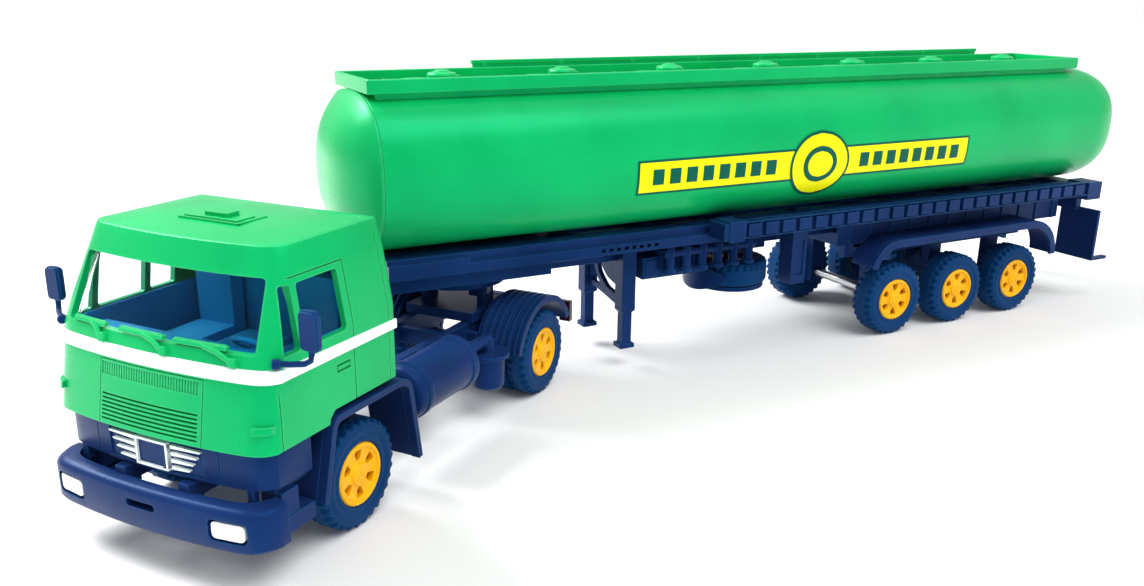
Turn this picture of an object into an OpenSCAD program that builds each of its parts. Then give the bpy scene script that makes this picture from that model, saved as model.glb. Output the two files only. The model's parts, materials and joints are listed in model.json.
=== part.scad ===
// Scale-model tanker lorry: a two-axle cab-over tractor and a three-axle tank semitrailer.
// Millimetres. +X runs forward along the trailer, +Y to its left, +Z up, and Z = 0 is the ground.
// The tractor stands turned about the kingpin, as it does when the lorry corners.

/* [Whole lorry] */
// Turn of the tractor against the trailer, in degrees
swing = 36; // [30:1:42]
// Tyre radius
tyre_r = 6.2; // [6.1:0.05:6.3]
// Distance from the centre line to the outer face of every tyre
tyre_face = 13.9; // [13.8:0.05:14]
// Axle radius
axle_r = 0.75; // [0.7:0.05:0.8]
// Radial running clearance of every axle and pin
running_gap = 0.05; // [0.03:0.01:0.08]

/* [Cab] */
// Half width of the cab at the waist
cab_half = 14.2; // [14:0.1:14.4]
// Foremost point of the cab, ahead of the front axle
cab_front = 15.6; // [15.4:0.1:15.8]
// Rear wall of the cab, from the front axle
cab_rear = -6.5; // [-6.8:0.1:-6.3]
// Height of the cab's lower edge
cab_bottom = 14.3; // [14.2:0.1:14.5]
// Height of the roof's edge
cab_top = 33.2; // [33:0.1:33.5]
// Wall thickness of the cab moulding
cab_wall = 1; // [0.9:0.05:1.1]
// Lower edge of the white stripe
stripe_low = 21.1; // [21:0.1:21.2]
// Height of the white stripe
stripe_h = 1.4; // [1.3:0.05:1.5]

/* [Tractor] */
// Distance between the tractor's axles
wheelbase = 43.2; // [43:0.1:43.5]
// Distance from the rear axle forward to the kingpin
kingpin_lead = 1.4; // [1.2:0.1:1.6]
// Foremost point of the bumper, ahead of the front axle
bumper_front = 17.3; // [17.1:0.1:17.4]
// Radius of the round reservoir beside the frame
reservoir_r = 3.6; // [3.4:0.1:3.6]

/* [Fifth wheel] */
// Radius of the tilting plate
plate_r = 7.2; // [6.8:0.1:7.4]
// Underside of the tilting plate
plate_z = 16; // [15.9:0.05:16.1]
// Thickness of the tilting plate
plate_t = 1.2; // [1.1:0.05:1.3]
// Height of the tilt pin
tilt_z = 14.8; // [14.75:0.05:14.85]
// Radius of the tilt pin
tilt_r = 0.6; // [0.55:0.05:0.6]
// Radius of the kingpin
kingpin_r = 1.2; // [1.1:0.05:1.3]

/* [Tank] */
// Half width of the tank
tank_half = 12.4; // [12.2:0.1:12.6]
// Lowest line of the tank
tank_low = 22.2; // [22.2:0.1:22.3]
// Highest line of the tank
tank_high = 43.5; // [43.4:0.05:43.5]
// Front edge of the barrel, ahead of the kingpin
tank_front = 14.3; // [14:0.1:14.5]
// Depth of the front dish
dish_depth = 4.5; // [4:0.1:4.6]
// Start of the rear dome, from the kingpin
dome_start = -124; // [-125:0.5:-123]
// Depth of the rear dome
dome_depth = 12.5; // [12:0.1:13]
// Wall thickness of the tank moulding
tank_wall = 1; // [0.9:0.05:1.1]

/* [Trailer] */
// Position of the foremost trailer axle, from the kingpin
first_axle = -75; // [-75.5:0.1:-74.5]
// Spacing of the trailer axles
axle_step = 15; // [14.8:0.1:15.1]
// Half width of the catwalk
walk_half = 7.4; // [7.2:0.1:7.5]
// Spacing of the filler lids
lid_step = 18.7; // [18.5:0.1:18.8]
// Outer face of the side trays and fenders
side_half = 14.2; // [14:0.1:14.3]

/* [Hidden] */
$fn = 64;
kingpin_t = kingpin_lead - wheelbase;
corner_share = 0.85;
front_reach = (bumper_front - 1.1 - kingpin_t) * cos(swing) + corner_share * 14.4 * sin(swing);
left_reach = (10.4 - kingpin_t) * sin(swing) + 18.1 * cos(swing);
lamp_rear = -54.5;
lamp_half = 12.8;
right_reach = (kingpin_t - lamp_rear) * sin(swing) + lamp_half * cos(swing);
kingpin_x = (dome_depth - dome_start - front_reach) / 2;
kingpin_y = (right_reach - left_reach) / 2;
axle_z = tyre_r;
bore_r = axle_r + running_gap;
hub_r = 3.55;
single_w = 3.6;
dual_w = 3.3;
dual_gap = 0.4;
super_w = 4.4;
deck_z = 21.6;
walk_front = 14.5;
walk_rear = -122.6;
walk_top = 45.4;
tray_front = -37.5;
tray_rear = -121.8;
rib_count = 25;
trailer_axles = [for (i = [0:2]) first_axle - i * axle_step];

// Colours
module green() { color([0, 0.62, 0.36]) children(); }
module navy() { color([0.08, 0.11, 0.24]) children(); }
module rubber() { color([0.12, 0.16, 0.26]) children(); }
module yellow() { color([1, 0.7, 0.05]) children(); }
module white() { color([0.95, 0.96, 0.96]) children(); }
module steel() { color([0.6, 0.62, 0.65]) children(); }

// Places: the tractor's own origin is on the ground under its front axle,
// the trailer's is on the ground under the kingpin.
module at_tractor() {
    translate([kingpin_x, kingpin_y, 0])
        rotate([0, 0, swing])
            translate([-kingpin_t, 0, 0])
                children();
}
module at_trailer() {
    translate([kingpin_x, kingpin_y, 0])
        children();
}
module both_sides() {
    children();
    mirror([0, 1, 0])
        children();
}
// A block given by its lowest and highest corners
module block(low, high) {
    translate(low)
        cube(high - low);
}
// An outline in X and Z, extruded from one Y to another
module side_extrude(y_low, y_high) {
    translate([0, y_high, 0])
        rotate([90, 0, 0])
            linear_extrude(height = y_high - y_low)
                children();
}
// A closed skin over a stack of rings that have the same number of points
module loft(rings) {
    n = len(rings[0]);
    m = len(rings);
    polyhedron(
        points = [for (ring = rings) each ring],
        faces = concat(
            [[for (j = [0:n - 1]) j]],
            [for (i = [0:m - 2], j = [0:n - 1]) [i * n + j, (i + 1) * n + j, (i + 1) * n + (j + 1) % n]],
            [for (i = [0:m - 2], j = [0:n - 1]) [i * n + j, (i + 1) * n + (j + 1) % n, i * n + (j + 1) % n]],
            [[for (j = [n - 1:-1:0]) (m - 1) * n + j]]));
}
// A row of points across a bowed front with rounded corners, from right to left
function bowed(front, half, bow, corner, z) =
    [for (i = [-12:12]) let (a = sin(90 * i / 12))
        [front - bow * a * a - corner * pow(abs(a), 14), a * half, z]];

// ---- Cab ----
function cab_half_at(z) = lookup(z, [[0, cab_half], [24, cab_half], [30, cab_half - 1.1],
    [cab_top, cab_half - 2.1], [cab_top + 0.7, cab_half - 4.4]]);
function cab_front_at(z) = lookup(z, [[0, cab_front], [cab_bottom, cab_front], [23, cab_front - 1.5],
    [30.6, cab_front - 4.6], [cab_top, cab_front - 5.4], [cab_top + 0.7, cab_front - 7.4]]);
function cab_ring(z, inset) = concat(
    [[cab_rear + inset, inset - cab_half_at(z), z]],
    bowed(cab_front_at(z) - inset, cab_half_at(z) - inset, 1.2, 1.5, z),
    [[cab_rear + inset, cab_half_at(z) - inset, z]]);
cab_levels = [cab_bottom, 23, 24, 30, 30.6, cab_top];
module cab_solid(low, high, inset) {
    between = [for (k = cab_levels) if (k > low && k < high) k];
    loft([for (z = [low, each between, high]) cab_ring(z, inset)]);
}
// Side window outlines in X and Z
vent_window = [[11.3, 23.6], [8.9, 23.6], [8.7, 29.7], [9.9, 29.7]];
door_window = [[8.1, 23.6], [2, 23.6], [2, 29.7], [7.9, 29.7]];
quarter_window = [[1.2, 23.6], [-2.4, 23.6], [-2.4, 29.2], [1.2, 29.2]];
module cab_shell() {
    green() at_tractor() {
        difference() {
            cab_solid(cab_bottom, cab_top + 0.7, 0);
            cab_solid(cab_bottom - 1, cab_top - 0.4, cab_wall);
            block([cab_rear - 1, -15, cab_bottom - 1], [5.2, 15, cab_bottom + 1.3]);
            block([8.2, -11.9, 23.9], [17, 11.9, 30.5]);
            side_extrude(12, 16)
                polygon(vent_window);
            side_extrude(12, 16)
                polygon(door_window);
            side_extrude(-16, -12)
                polygon(vent_window);
            side_extrude(-16, -12)
                polygon(door_window);
            side_extrude(-16, -12)
                polygon(quarter_window);
            for (k = [0:6])
                block([14.6, -6.3, 15.1 + 0.45 * k], [17, 6.3, 15.3 + 0.45 * k]);
        }
        block([1.4, -3.2, cab_top + 0.5], [5.4, 4, cab_top + 0.9]);
        block([1.8, -1.6, cab_top + 0.8], [3.8, 0.9, cab_top + 1.3]);
        both_sides()
            block([12.4, 12.6, 16.3], [13.8, 14.5, 17.3]);
        for (y = [-8.6, -1, 6.6])
            block([13.9, y - 2.4, 23.5], [14.5, y + 2.4, 23.9]);
    }
}
module waist_stripe() {
    white() at_tractor()
        difference() {
            cab_solid(stripe_low, stripe_low + stripe_h, -0.12);
            cab_solid(stripe_low - 1, stripe_low + stripe_h + 1, 0);
            block([cab_rear - 1, -15, stripe_low - 1], [cab_rear + 0.3, 15, stripe_low + stripe_h + 1]);
        }
}
module cab_glazing() {
    color([0.75, 0.85, 0.9, 0.4]) at_tractor()
        difference() {
            cab_solid(22.6, 31.4, cab_wall);
            cab_solid(22, 32, cab_wall + 0.5);
            block([cab_rear, -15, 22], [cab_rear + cab_wall + 0.6, 15, 32]);
        }
}
module seat(y) {
    translate([0, y, 0]) {
        block([-2.2, -2.6, 17.6], [3.2, 2.6, 19.6]);
        block([-4, -2.6, 17.6], [-2.2, 2.6, 27]);
        block([-1.6, -1.6, 16], [2.4, 1.6, 17.6]);
    }
}
module cab_interior() {
    navy() at_tractor() {
        block([-5.3, -12.4, 15.6], [5.2, 12.4, 16.4]);
        block([5.2, -12.4, 14.6], [11.2, 12.4, 15.4]);
        block([5.2, -12.4, 15.4], [5.6, 12.4, 16.4]);
        block([-5.3, -12.4, 16.4], [-4.6, 12.4, 22.4]);
        block([-5.3, -11.2, 22.4], [-4.6, 11.2, 29.6]);
        block([-2.6, -3, 16.4], [8.6, 3, 19.4]);
        block([8.6, -12.2, 15.4], [11.2, 12.2, 22.4]);
        seat(7.4);
        seat(-7.4);
        translate([8.4, 7.2, 20.4])
            rotate([0, -35, 0])
                cylinder(r = 0.45, h = 2);
    }
}
module steering_wheel() {
    navy() at_tractor()
        translate([8.4, 7.2, 20.4])
            rotate([0, -35, 0])
                translate([0, 0, 2.15]) {
                    rotate_extrude()
                        translate([2.3, 0])
                            circle(r = 0.28);
                    cylinder(r = 0.6, h = 0.3, center = true);
                    for (a = [0, 120, 240])
                        rotate([0, 0, a])
                            block([0, -0.2, -0.14], [2.2, 0.2, 0.14]);
                }
}
module mirror_arm() {
    block([9.9, 15.9, 24.5], [10.9, 18.1, 28.2]);
    block([10.2, 16.6, 23], [10.7, 17.2, 24.5]);
    translate([10.45, 16.9, 23.1])
        rotate([0, 0, -56.3])
            block([-0.25, -3.15, -0.1], [0.25, 0.15, 0.4]);
}
module mirror_left() {
    navy() at_tractor()
        difference() {
            mirror_arm();
            cab_solid(20, 26, -0.02);
        }
}
module mirror_right() {
    navy() at_tractor()
        difference() {
            mirror([0, 1, 0])
                mirror_arm();
            cab_solid(20, 26, -0.02);
        }
}

// ---- Front end ----
skirt_inset = 0.7;
module front_skirt() {
    navy() at_tractor()
        difference() {
            cab_solid(10.2, cab_bottom, skirt_inset);
            cab_solid(9, cab_bottom + 1, skirt_inset + 0.9);
            block([cab_rear - 1, -15, 9], [7.6, 15, 15]);
        }
}
module grille_trim() {
    white() at_tractor()
        difference() {
            union() {
                block([14.4, -2.1, 10.7], [15.3, 2.1, 13.7]);
                both_sides()
                    for (k = [0:3])
                        block([14, 2.5, 13.1 - 0.75 * k], [15.15 - 0.03 * k, 6 - 0.5 * k, 13.45 - 0.75 * k]);
            }
            cab_solid(9, cab_bottom + 1, skirt_inset);
        }
}
function bumper_ring(z, inset) = concat(
    [[12.4, inset - 14.4, z]],
    bowed(bumper_front - inset, 14.4 - inset, 1.2, 2.4, z),
    [[12.4, 14.4 - inset, z]]);
module front_bumper() {
    navy() at_tractor()
        difference() {
            loft([bumper_ring(4.6, 0.3), bumper_ring(5, 0), bumper_ring(8.7, 0), bumper_ring(9.2, 0.4)]);
            loft([bumper_ring(4, 1.7), bumper_ring(10, 1.7)]);
            block([12, -12.6, 4], [14, 12.6, 10]);
            block([14, -1.9, 7.1], [18, 1.9, 7.9]);
            both_sides() {
                block([14, 3.6, 6.4], [15.6, 5, 10]);
                block([15.9, 8.3, 5.7], [18, 12.7, 8.1]);
            }
        }
}
module headlamp_lenses() {
    white() at_tractor()
        both_sides()
            difference() {
                block([15.9, 8.5, 5.9], [17.4, 12.5, 7.9]);
                difference() {
                    block([15, 8, 5], [18, 13, 9]);
                    loft([bumper_ring(4.5, 0.1), bumper_ring(9.5, 0.1)]);
                }
            }
}
fender_outer = [[7.3, 6.2], [5.3, 14.1], [4.4, 15.1], [-7.6, 15], [-8.8, 14.1], [-10.5, 4.2]];
fender_inner = [[6.7, 5.2], [4.9, 13.2], [4, 14], [-7.3, 13.9], [-8.1, 13.3], [-9.9, 3.2]];
module front_fender() {
    navy()
        side_extrude(8.2, 14.2)
            difference() {
                polygon(fender_outer);
                polygon([each fender_inner, [0, 3]]);
            }
}
module front_fender_left() {
    at_tractor()
        front_fender();
}
module front_fender_right() {
    at_tractor()
        mirror([0, 1, 0])
            front_fender();
}

// ---- Tractor frame ----
// A plate that carries an axle, from the bore up to a rail
module hanger(x, y_low, y_high, top) {
    difference() {
        block([x - 1.5, y_low, axle_z - 1.7], [x + 1.5, y_high, top]);
        translate([x, y_low - 1, axle_z])
            rotate([-90, 0, 0])
                cylinder(r = bore_r, h = y_high - y_low + 2);
    }
}
reservoir_place = [-11.4, 10.45, 10.4];
cup_place = [-31.6, 11.2, 0];
module tractor_frame() {
    navy() at_tractor() {
        both_sides() {
            block([-53.6, 3.6, 8.2], [13.6, 5, 11.2]);
            block([13.6, 3.6, 6.4], [15.6, 5, 10]);
            hanger(0, 5, 7.2, 11.2);
            hanger(-wheelbase, 5, 6.6, 11.2);
            // Lamp bar, front step with its stay, and the fender and mudguard brackets
            block([-53.6, 5, 8.6], [-52.6, 12.6, 9.8]);
            block([7.6, 5, 9.4], [12.3, 12.9, 10.2]);
            block([7.4, 10.6, 4.9], [12.3, 13.7, 6.7]);
            block([9.6, 10.9, 6.7], [12.1, 13.5, 9.4]);
            block([5.6, 5, 9.4], [6.4, 8.2, 10.2]);
            block([-9.4, 5, 10], [-8.7, 8.2, 11]);
            block([-48.4, 4.2, 11.2], [-47.4, 6.8, 12.5]);
            block([-36.6, 5, 8.8], [-35.8, 6.8, 10.2]);
        }
        // Saddles for the reservoir and the cup on the left, stays for the tank on the right
        difference() {
            for (x = [-15, -24.4])
                block([x, 5, 9.4], [x + 1.2, 7.6, 11.4]);
            translate(reservoir_place)
                rotate([0, -90, 0])
                    cylinder(r = reservoir_r, h = 20);
        }
        difference() {
            block([-32.2, 5, 7], [-31, 9.6, 8]);
            translate([cup_place[0], cup_place[1], 5])
                cylinder(r1 = 2.15, r2 = 2.3, h = 3.9);
        }
        for (x = [-15, -26.4])
            block([x, -7.4, 9.8], [x + 1.2, -5, 11]);
        for (x = [-53.6, -33, -20, -9])
            block([x, -3.6, 8.6], [x + 1.2, 3.6, 10.8]);
        // Engine
        block([-6, -3.6, 7.8], [11.5, 3.6, 14.6]);
    }
}
module air_reservoir() {
    r = reservoir_r;
    navy() at_tractor()
        translate(reservoir_place)
            rotate([0, -90, 0])
                rotate_extrude()
                    polygon([[0, 0], [r - 1.1, 0.2], [r - 0.4, 0.7], [r - 0.15, 1.4], [r - 0.15, 2],
                        [r, 2], [r, 2.9], [r - 0.15, 2.9], [r - 0.15, 12], [r, 12], [r, 13.2],
                        [r - 0.3, 13.6], [r - 1.4, 14.5], [1.8, 14.9], [0, 14.9]]);
}
module exhaust_cup() {
    navy() at_tractor()
        translate(cup_place) {
            rotate_extrude()
                polygon([[0, 4.7], [1.9, 4.7], [2.15, 5], [2.3, 8.9], [2.9, 9.1], [2.9, 9.6], [0, 9.6]]);
            translate([0, 0, 9.6])
                cylinder(r = 0.85, h = 1.6);
            translate([0, 0, 11.2])
                sphere(r = 0.85);
            translate([0, -0.4, 11.2])
                rotate([0, 90, 0])
                    cylinder(r = 0.8, h = 5.3);
        }
}
// A superellipse as one closed outline: power 2 is an ellipse, higher powers are squarer
function oval(half_y, half_z, power) = [for (i = [0:71]) let (a = 5 * i, c = cos(a), s = sin(a))
    [half_y * sign(c) * pow(abs(c), 2 / power), half_z * sign(s) * pow(abs(s), 2 / power)]];
module fuel_tank() {
    navy() at_tractor()
        translate([-11.4, -10.7, 10])
            rotate([90, 0, -90])
                linear_extrude(height = 18)
                    polygon(oval(3.3, 3.6, 5));
}
module rear_mudguards() {
    navy() at_tractor()
        both_sides()
            translate([-wheelbase, 0, axle_z])
                rotate([90, 0, 0])
                    rotate([0, 0, 14])
                        mirror([0, 0, 1])
                            rotate_extrude(angle = 140)
                                polygon([[7.4, 6.8], [7.4, 14.1], [8.3, 14.1], [8.3, 13.5],
                                    each [for (k = [0:3]) each [[8, 13.4 - 1.6 * k], [8, 12.6 - 1.6 * k],
                                        [8.3, 12.4 - 1.6 * k], [8.3, 12 - 1.6 * k]]], [8, 6.8]]);
}
module tractor_tail_lamps() {
    color([0.55, 0.05, 0.05]) at_tractor()
        both_sides()
            block([lamp_rear, 11, 7.6], [-53.6, lamp_half, 10.8]);
}

// ---- Fifth wheel ----
module fifth_wheel_base() {
    navy() at_tractor()
        translate([kingpin_t, 0, 0]) {
            block([-5, -5.6, 11.2], [5, 5.6, 12.6]);
            both_sides()
                difference() {
                    block([-1.4, 4.2, 12.6], [1.4, 5.4, tilt_z + 0.9]);
                    translate([0, 0, tilt_z])
                        rotate([-90, 0, 0])
                            cylinder(r = tilt_r, h = 8);
                }
        }
}
module tilt_pin() {
    steel() at_tractor()
        translate([kingpin_t, -5.4, tilt_z])
            rotate([-90, 0, 0])
                cylinder(r = tilt_r, h = 10.8);
}
module fifth_wheel_plate() {
    navy() at_tractor()
        translate([kingpin_t, 0, 0]) {
            difference() {
                translate([0, 0, plate_z])
                    cylinder(r = plate_r, h = plate_t);
                translate([0, 0, plate_z - 1])
                    cylinder(r = kingpin_r + running_gap, h = 4);
                translate([0, 0, plate_z - 1])
                    linear_extrude(height = 4)
                        polygon([[-3, 0.9], [-8, 3.4], [-8, -3.4], [-3, -0.9]]);
            }
            both_sides()
                difference() {
                    block([-1, 2.6, tilt_z - 0.95], [1, 3.9, plate_z]);
                    translate([0, 0, tilt_z])
                        rotate([-90, 0, 0])
                            cylinder(r = tilt_r + running_gap, h = 8);
                }
        }
}

// ---- Wheels: each is drawn with its outer face at tyre_face ----
module axle() {
    translate([0, 1.3 - tyre_face, axle_z])
        rotate([-90, 0, 0])
            cylinder(r = axle_r, h = 2 * (tyre_face - 1.3));
}
module tyre(width) {
    translate([0, tyre_face, axle_z])
        rotate([90, 0, 0])
            rotate_extrude()
                polygon([[hub_r, 0.35], [hub_r + 0.4, 0.1], [tyre_r - 1.3, 0], [tyre_r - 0.3, 0.25],
                    [tyre_r, 0.6], [tyre_r, width - 0.6], [tyre_r - 0.3, width - 0.25],
                    [tyre_r - 1.3, width], [hub_r + 0.4, width - 0.1], [hub_r, width - 0.35]]);
}
module hub(width) {
    translate([0, tyre_face, axle_z])
        rotate([90, 0, 0])
            difference() {
                union() {
                    translate([0, 0, 0.35])
                        cylinder(r = hub_r, h = width - 0.7);
                    translate([0, 0, 0.1])
                        cylinder(r = 1.2, h = 1);
                }
                translate([0, 0, 1.3])
                    cylinder(r = axle_r, h = width);
                for (k = [0:5])
                    rotate([0, 0, 60 * k])
                        translate([2.35, 0, 0])
                            cylinder(r = 0.55, h = 0.9);
            }
}
module front_axle() {
    steel() at_tractor()
        axle();
}
module front_tyres() {
    rubber() at_tractor()
        both_sides()
            tyre(single_w);
}
module front_hubs() {
    yellow() at_tractor()
        both_sides()
            hub(single_w);
}
module rear_axle() {
    steel() at_tractor()
        translate([-wheelbase, 0, 0])
            axle();
}
module rear_tyres() {
    rubber() at_tractor()
        translate([-wheelbase, 0, 0])
            both_sides() {
                tyre(dual_w);
                translate([0, -dual_w - dual_gap, 0])
                    tyre(dual_w);
            }
}
module rear_hubs() {
    yellow() at_tractor()
        translate([-wheelbase, 0, 0])
            both_sides()
                hub(2 * dual_w + dual_gap);
}
module trailer_axle(i) {
    steel() at_trailer()
        translate([trailer_axles[i], 0, 0])
            axle();
}
module trailer_tyres(i) {
    rubber() at_trailer()
        translate([trailer_axles[i], 0, 0])
            both_sides()
                tyre(super_w);
}
module trailer_hubs(i) {
    yellow() at_trailer()
        translate([trailer_axles[i], 0, 0])
            both_sides()
                hub(super_w);
}

// ---- Tank ----
tank_mid = (tank_low + tank_high) / 2;
tank_half_z = (tank_high - tank_low) / 2;
tank_power = 2.6;
// A cross-section of the tank at x, inset from the skin, running so that lofts towards -X face outwards
function tank_ring(x, inset, share) = [for (p = oval(tank_half - inset, tank_half_z - inset, tank_power))
    [x, -share * p[0], tank_mid + share * p[1]]];
// The barrel and its rear dome as one solid, inset from the skin
module barrel_solid(front, inset) {
    depth = dome_depth - inset;
    loft([tank_ring(front, inset, 1),
        each [for (a = [0:10:80]) tank_ring(dome_start - depth * sin(a), inset, cos(a))],
        tank_ring(dome_start - depth, inset, 0.06)]);
}
module tank_barrel() {
    green() at_trailer()
        difference() {
            barrel_solid(tank_front, 0);
            barrel_solid(tank_front + 1, tank_wall);
        }
}
// The dished front and the plug behind it, inset from the skin; share runs from the middle to the rim
module dish_solid(front, rear, inset) {
    loft([each [for (share = [0.1, 0.3, 0.5, 0.7, 0.85, 0.95])
            tank_ring(front + dish_depth * (1 - pow(share, 2.6)), inset, share)],
        tank_ring(front + 0.25, inset, 1),
        tank_ring(rear, inset, 1)]);
}
module tank_front_end() {
    plug_inset = tank_wall + 0.05;
    green() at_trailer()
        difference() {
            union() {
                dish_solid(tank_front, tank_front, 0);
                loft([tank_ring(tank_front, plug_inset, 1), tank_ring(tank_front - 2.5, plug_inset, 1)]);
            }
            dish_solid(tank_front - tank_wall, tank_front - 3, plug_inset + tank_wall);
        }
}
module catwalk() {
    green() at_trailer() {
        difference() {
            block([walk_rear, -walk_half, tank_high], [walk_front, walk_half, walk_top]);
            block([walk_rear + 0.6, 0.6 - walk_half, 44.1], [walk_front - 0.6, walk_half - 0.6, 46]);
        }
    }
}
module catwalk_rail() {
    green() at_trailer() {
        block([-112, -walk_half - 0.6, 45.7], [-6, -walk_half, 46.4]);
        for (k = [0:8])
            block([-8 - 12.8 * k, -walk_half - 0.6, 43.8], [-7.3 - 12.8 * k, -walk_half, 45.7]);
    }
}
module filler_lids() {
    green() at_trailer()
        for (k = [0:6])
            translate([1.6 - lid_step * k, 0, 44.1]) {
                translate([3.4, 0, 0])
                    cylinder(r = 2.9, h = 0.5);
                cylinder(r = 2.1, h = 1.4);
                translate([0, 0, 1.4])
                    cylinder(r = 1.1, h = 0.3);
            }
}

// ---- Trailer frame ----
module trailer_frame() {
    navy() at_trailer() {
        difference() {
            block([-11, -9, 17.4], [13.5, 9, 19.4]);
            translate([0, 0, 17])
                cylinder(r = kingpin_r, h = 5);
        }
        block([2, -10.2, 19.4], [13.5, 10.2, deck_z]);
        block([-11, -9.4, deck_z], [13.5, 9.4, tank_low]);
        both_sides() {
            difference() {
                block([tray_rear, 9.2, 19.4], [2, 10.2, 20.9]);
                for (k = [0:7])
                    block([-28.4 + 1.3 * k, 9, 19.9], [-27.7 + 1.3 * k, 11, 20.4]);
            }
            block([tray_rear, 7.6, 20.6], [2, 9.4, tank_low]);
            block([tray_rear, 3.6, 16.8], [-16, 4.8, deck_z]);
        }
        block([-11, -9.2, 19.4], [-9.8, 9.2, deck_z]);
        block([-16, -4.8, 16.8], [-9.8, 4.8, 17.4]);
        block([-16, -4.8, 17.4], [-11, 4.8, deck_z]);
        for (k = [0:7])
            translate([-17.6 - 14.2 * k, 0, 0]) {
                block([0, -3.6, 19.4], [1.2, 3.6, tank_low]);
                both_sides()
                    block([0, 4.8, 19.4], [1.2, 9.2, 21.2]);
            }
    }
}
module kingpin() {
    steel() at_trailer()
        translate([0, 0, 15.75])
            cylinder(r = kingpin_r, h = 3.65);
}
module bogie_frame() {
    navy() at_trailer() {
        both_sides()
            for (x = trailer_axles)
                hanger(x, 6.2, 7.8, 13);
        both_sides()
            block([trailer_axles[2] - 7, 6.2, 13], [trailer_axles[0] + 7, 7.8, 14.6]);
        for (x = [trailer_axles[0] + 6, each [for (k = [0:2]) trailer_axles[k] - axle_step / 2]])
            block([x - 1, -7.8, 14.6], [x + 1, 7.8, 16.8]);
    }
}
module side_tray() {
    block([tray_rear, 10.2, 20.5], [tray_front, side_half, 21.1]);
    block([tray_rear, side_half - 0.6, 21.1], [tray_front, side_half, 23.1]);
    block([tray_front, 10.2, 20.2], [tray_front + 2.7, side_half + 0.15, 24]);
    for (k = [0:rib_count - 1])
        translate([tray_front - 1.8 - 3.3 * k, side_half, 20.5])
            cube([0.7, 0.15, 2.6]);
}
module side_tray_left() {
    navy() at_trailer()
        side_tray();
}
module side_tray_right() {
    navy() at_trailer()
        mirror([0, 1, 0])
            side_tray();
}
module landing_legs() {
    navy() at_trailer()
        both_sides()
            translate([-25.4, 0, 0]) {
                block([-1.2, 4.8, 9], [1.2, 7, 19.4]);
                block([-0.85, 5.2, 3.7], [0.85, 6.7, 9]);
                block([-1.3, 4.7, 3.1], [1.3, 7.1, 3.8]);
            }
}
module landing_brace() {
    navy() at_trailer()
        translate([-25.8, 0, 0])
            difference() {
                block([0, -4.8, 9.4], [0.8, 4.8, 16.8]);
                translate([-1, 0, 17.6])
                    rotate([0, 90, 0])
                        cylinder(r = 4.4, h = 3);
                block([-1, -6, 8], [3, -1.6, 11.2]);
                block([-1, 1.6, 8], [3, 6, 11.2]);
                translate([-1, 0, 8.2])
                    rotate([0, 90, 0])
                        cylinder(r = 2.2, h = 3);
            }
}
spare_place = [-46.8, 3.4, 10.9];
module spare_wheel() {
    rubber() at_trailer()
        translate(spare_place)
            difference() {
                translate([0, 0, 4])
                    mirror([0, 0, 1])
                        rotate_extrude()
                            polygon([[0, 1], [3.4, 1], [3.55, 0.35], [4, 0.1], [tyre_r - 1.3, 0],
                                [tyre_r - 0.3, 0.25], [tyre_r, 0.6], [tyre_r, 3.4], [tyre_r - 0.3, 3.75],
                                [tyre_r - 1.3, 4], [4, 3.9], [3.55, 3.6], [3.4, 3], [0, 3]]);
                translate([0, 0, -1])
                    cylinder(r = 0.9, h = 6);
            }
}
// A spoked plate under the wheel on a stem, with a curved guard ahead of it
module spare_carrier() {
    navy() at_trailer() {
        translate(spare_place) {
            difference() {
                translate([0, 0, -0.7])
                    cylinder(r = 5.8, h = 0.7);
                translate([0, 0, -1])
                    difference() {
                        cylinder(r = 4.8, h = 2);
                        cylinder(r = 2.2, h = 2);
                        block([-5, -0.9, 0], [5, 0.9, 2]);
                        block([-0.9, -5, 0], [0.9, 5, 2]);
                    }
            }
            difference() {
                translate([0, 0, -0.7])
                    cylinder(r = 7.9, h = 4.4);
                translate([0, 0, -1])
                    cylinder(r = 7.2, h = 6);
                block([-9, -9, -1], [5.2, 9, 5]);
            }
            block([5, -1.6, -0.7], [7.4, 1.6, 0]);
            cylinder(r = 0.85, h = 5.9);
        }
        block([-53, 2.4, 15.9], [-40.6, 4.8, 16.8]);
    }
}
module outlet_valves() {
    navy() at_trailer() {
        translate([-47.6, 8.6, 18])
            rotate([0, 90, 0])
                cylinder(r = 0.6, h = 17.2);
        for (k = [0:5])
            translate([-46.6 + 3 * k, 8.6, 15.4])
                cylinder(r = 0.75, h = 3.6);
        for (k = [0:5])
            translate([-46.6 + 3 * k, 8.6, 15])
                cylinder(r = 1.05, h = 0.6);
        block([-47.6, 4.8, 17.6], [-46.6, 8.6, 18.4]);
        block([-31.4, 4.8, 17.6], [-30.4, 8.6, 18.4]);
    }
}
module valve_box() {
    navy() at_trailer()
        difference() {
            block([-57.4, 7, 10.6], [-54.4, 10.2, 19.4]);
            block([-56.9, 9.9, 12], [-54.9, 11, 18]);
        }
}
// The long arch over three wheels: a front and a rear arc, inset from the outer line
arch_top = 16.9;
arch_front = [trailer_axles[0] + 0.8, 5.8];
arch_rear = [trailer_axles[2] - 3, 6.8];
function arc(centre, inset, angles) = [for (a = angles)
    [centre[0] + (centre[1] - inset) * cos(a), arch_top - centre[1] + (centre[1] - inset) * sin(a)]];
function arch(inset) = concat(arc(arch_front, inset, [16:8:88]), arc(arch_rear, inset, [90:9:180]));
function reversed(list) = [for (i = [len(list) - 1:-1:0]) list[i]];
module trailer_fender() {
    navy() {
        side_extrude(9, 13.5)
            polygon(concat(arch(0), reversed(arch(0.7))));
        side_extrude(13.5, side_half)
            polygon(concat(arch(0), reversed(arch(1.5))));
        for (x = [trailer_axles[0] - 7, trailer_axles[1] - 7])
            block([x - 0.5, 7.8, 15], [x + 0.5, 9, 16.8]);
    }
}
module trailer_fender_left() {
    at_trailer()
        trailer_fender();
}
module trailer_fender_right() {
    at_trailer()
        mirror([0, 1, 0])
            trailer_fender();
}
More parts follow.
